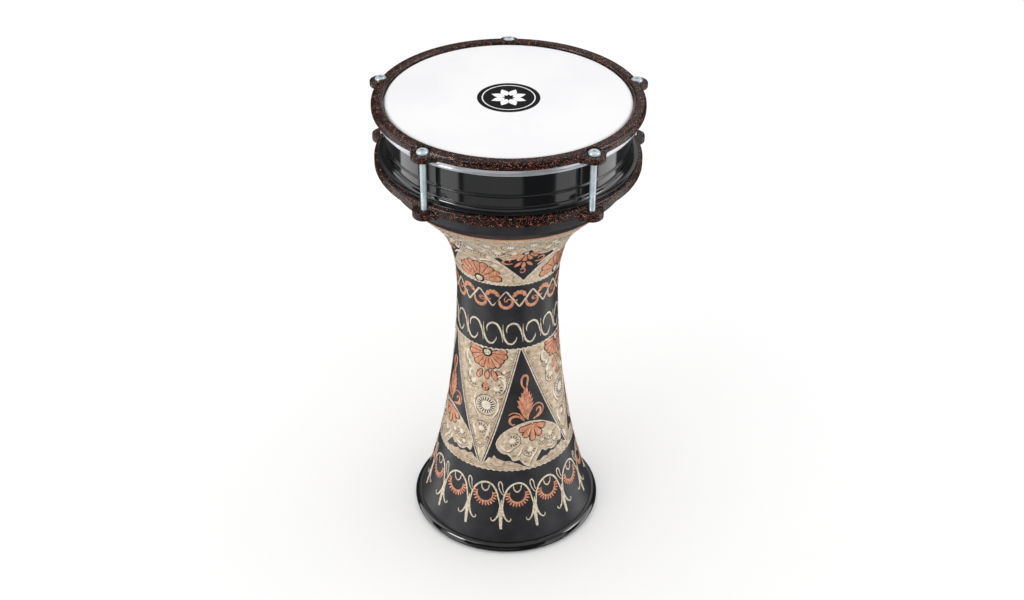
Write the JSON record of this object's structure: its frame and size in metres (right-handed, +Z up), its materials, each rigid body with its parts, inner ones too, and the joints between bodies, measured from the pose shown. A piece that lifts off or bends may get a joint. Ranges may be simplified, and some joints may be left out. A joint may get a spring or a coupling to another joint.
{
  "type": "darbuka",
  "caption": "Goblet hand drum with a bolt-tensioned synthetic head, a rounded tension hoop, a black collar and a flared shell with floral engraving.",
  "frame": {"origin": "on the drum's axis, in the plane that the foot stands on", "axes": "+Z up along the drum's axis towards the head; +Y towards the bolt at the back"},
  "size_m": [0.2248, 0.2264, 0.411],
  "materials": {
    "engraved_copper": "satin charcoal lacquer over copper, with silver and copper engraving",
    "foot_edging": "glossy black edging",
    "collar_lacquer": "glossy black enamel",
    "hammertone": "glossy black hammered enamel with copper flecks",
    "polished_aluminium": "polished",
    "resin": "cured resin",
    "head_film": "smooth satin white film",
    "patch_print": "printed black patch",
    "zinc_steel": "bright zinc plating"
  },
  "bodies": {
    "shell": {"body_shell": "engraved_copper", "foot_ring": "foot_edging", "head_collar": "collar_lacquer", "lower_ring": "hammertone", "hex_nut_1": "zinc_steel", "hex_nut_2": "zinc_steel", "hex_nut_3": "zinc_steel", "hex_nut_4": "zinc_steel", "hex_nut_5": "zinc_steel"},
    "hoop": {"top_hoop": "hammertone"},
    "head": {"flesh_hoop": "polished_aluminium", "channel_resin": "resin", "drumhead_film": "head_film", "head_patch": "patch_print"},
    "bolt_1": {"tension_bolt_1": "zinc_steel"},
    "bolt_2": {"tension_bolt_2": "zinc_steel"},
    "bolt_3": {"tension_bolt_3": "zinc_steel"},
    "bolt_4": {"tension_bolt_4": "zinc_steel"},
    "bolt_5": {"tension_bolt_5": "zinc_steel"}
  },
  "joints": [
    {"name": "hoop_lift", "type": "slide", "parent": "shell", "child": "hoop", "axis": [0, 0, 1], "range_m": [0, 0.0045]},
    {"name": "head_lift", "type": "slide", "parent": "shell", "child": "head", "axis": [0, 0, 1], "range_m": [0, 0.0045]},
    {"name": "bolt_turn_1", "type": "hinge", "parent": "hoop", "child": "bolt_1", "pos_m": [0, 0.1085, 0.38], "axis": [0, 0, 1], "range_deg": [0, 2030]},
    {"name": "bolt_turn_2", "type": "hinge", "parent": "hoop", "child": "bolt_2", "pos_m": [-0.10319, 0.03353, 0.38], "axis": [0, 0, 1], "range_deg": [0, 2030]},
    {"name": "bolt_turn_3", "type": "hinge", "parent": "hoop", "child": "bolt_3", "pos_m": [-0.06377, -0.08778, 0.38], "axis": [0, 0, 1], "range_deg": [0, 2030]},
    {"name": "bolt_turn_4", "type": "hinge", "parent": "hoop", "child": "bolt_4", "pos_m": [0.06377, -0.08778, 0.38], "axis": [0, 0, 1], "range_deg": [0, 2030]},
    {"name": "bolt_turn_5", "type": "hinge", "parent": "hoop", "child": "bolt_5", "pos_m": [0.10319, 0.03353, 0.38], "axis": [0, 0, 1], "range_deg": [0, 2030]}
  ],
  "couplings": [
    {"joint": "head_lift", "follows": "hoop_lift", "ratio": 1},
    {"joint": "bolt_turn_1", "follows": "hoop_lift", "rad_per_m": 7854},
    {"joint": "bolt_turn_2", "follows": "hoop_lift", "rad_per_m": 7854},
    {"joint": "bolt_turn_3", "follows": "hoop_lift", "rad_per_m": 7854},
    {"joint": "bolt_turn_4", "follows": "hoop_lift", "rad_per_m": 7854},
    {"joint": "bolt_turn_5", "follows": "hoop_lift", "rad_per_m": 7854}
  ]
}
